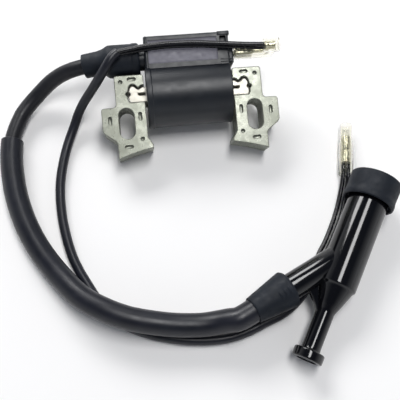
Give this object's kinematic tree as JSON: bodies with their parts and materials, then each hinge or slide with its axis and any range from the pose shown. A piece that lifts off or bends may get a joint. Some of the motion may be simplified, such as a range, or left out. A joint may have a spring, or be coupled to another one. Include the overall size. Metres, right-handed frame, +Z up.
{
  "type": "ignition coil",
  "caption": "Small-engine ignition coil on a laminated U armature, with a high-tension lead in a protective tube, an elbow plug cap, and a sleeved low-tension lead with a bullet connector.",
  "frame": {"origin": "bottom centre of the coil without its leads, on the surface it lies on", "axes": "+X along the coil body towards its low-tension terminal, +Y from the pole shoes to the potting box, +Z up"},
  "size_m": [0.1887, 0.1628, 0.0361],
  "materials": {
    "lamination_steel": "dull varnished electrical steel",
    "bright_steel": "bare bright steel",
    "case_plastic": "satin black moulded plastic",
    "potting_epoxy": "flat grey cast epoxy",
    "bobbin_nylon": "natural nylon",
    "copper_wire": "enamelled copper winding",
    "board_laminate": "glass laminate",
    "film_resin": "dipped resin",
    "ceramic_body": "unglazed ceramic",
    "brass_terminal": "plain brass",
    "clear_vinyl": "clear slightly yellow vinyl",
    "boot_rubber": "matte black rubber",
    "lead_rubber": "satin black insulation",
    "tube_vinyl": "satin black vinyl tube",
    "wire_vinyl": "black vinyl insulation",
    "cap_phenolic": "polished black phenolic"
  },
  "bodies": {
    "root": {"left_leg_core": "lamination_steel", "right_leg_core": "lamination_steel", "centre_core_bar": "bright_steel", "coil_case": "case_plastic", "potting_compound": "potting_epoxy", "primary_bobbin": "bobbin_nylon", "secondary_bobbin": "bobbin_nylon", "primary_winding": "copper_wire", "secondary_winding": "copper_wire", "module_board": "board_laminate", "power_transistor": "case_plastic", "film_capacitor": "film_resin", "board_resistor_1": "ceramic_body", "board_resistor_2": "ceramic_body", "lt_spade_terminal": "brass_terminal", "hv_terminal_pin": "brass_terminal", "flag_terminal": "brass_terminal", "flag_sleeve": "clear_vinyl", "hv_boot": "boot_rubber", "hv_lead": "lead_rubber", "lead_conduit": "tube_vinyl", "lt_wire_upper": "wire_vinyl", "lt_wire_lower": "wire_vinyl", "wire_sleeving": "tube_vinyl", "bullet_wire_left": "wire_vinyl", "bullet_wire_right": "wire_vinyl", "bullet_terminal": "brass_terminal", "bullet_sleeve": "clear_vinyl"},
    "plug_cap": {"cap_shell": "cap_phenolic", "cap_resistor": "ceramic_body", "cap_spring": "bright_steel", "plug_clip": "brass_terminal", "lead_screw": "brass_terminal", "neck_stopper": "boot_rubber"},
    "cap_seal_ring": {"cap_seal": "boot_rubber"},
    "arm_sleeve": {"arm_boot": "boot_rubber"}
  },
  "joints": [
    {"name": "cap_turn", "type": "hinge", "parent": "root", "child": "plug_cap", "pos_m": [0.06613, -0.08362, 0.01073], "axis": [0.9013, 0.431, -0.0447], "range_deg": [0, 8]},
    {"name": "cap_seal_slide", "type": "slide", "parent": "plug_cap", "child": "cap_seal_ring", "axis": [0.508, 0.8589, 0.0645], "range_m": [0, 0.014]},
    {"name": "arm_boot_slide", "type": "slide", "parent": "root", "child": "arm_sleeve", "axis": [-0.9013, -0.431, 0.0447], "range_m": [0, 0.004]}
  ]
}
